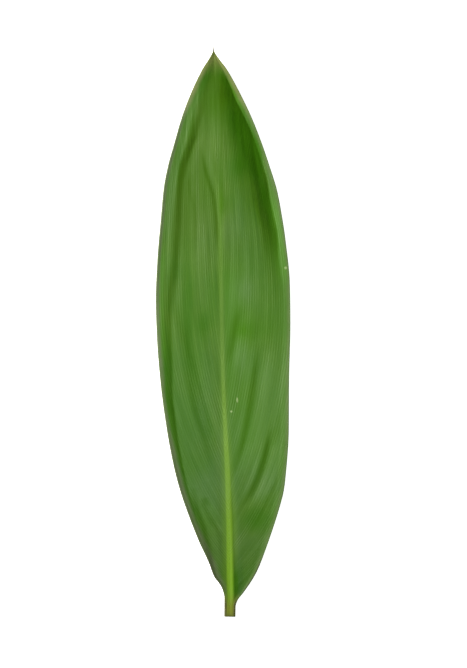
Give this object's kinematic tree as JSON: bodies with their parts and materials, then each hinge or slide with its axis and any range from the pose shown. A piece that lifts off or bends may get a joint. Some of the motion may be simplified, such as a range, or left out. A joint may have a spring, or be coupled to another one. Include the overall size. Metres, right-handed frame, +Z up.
{
  "type": "cordyline leaf",
  "caption": "Long strap-like green leaf with a raised midrib, slanting side veins, a gently waved blade, a short channelled stalk and a needle tip, lying on a surface.",
  "frame": {"origin": "on the surface that the leaf lies on, under the middle of the leaf's outline", "axes": "+Y along the leaf from the cut end of the stalk to the tip, +X across the leaf, +Z up from the surface through the leaf's upper face"},
  "size_m": [0.1018, 0.4301, 0.0092],
  "materials": {
    "leaf_green": "satin"
  },
  "bodies": {
    "root": {"cordyline_leaf": "leaf_green"}
  },
  "joints": []
}
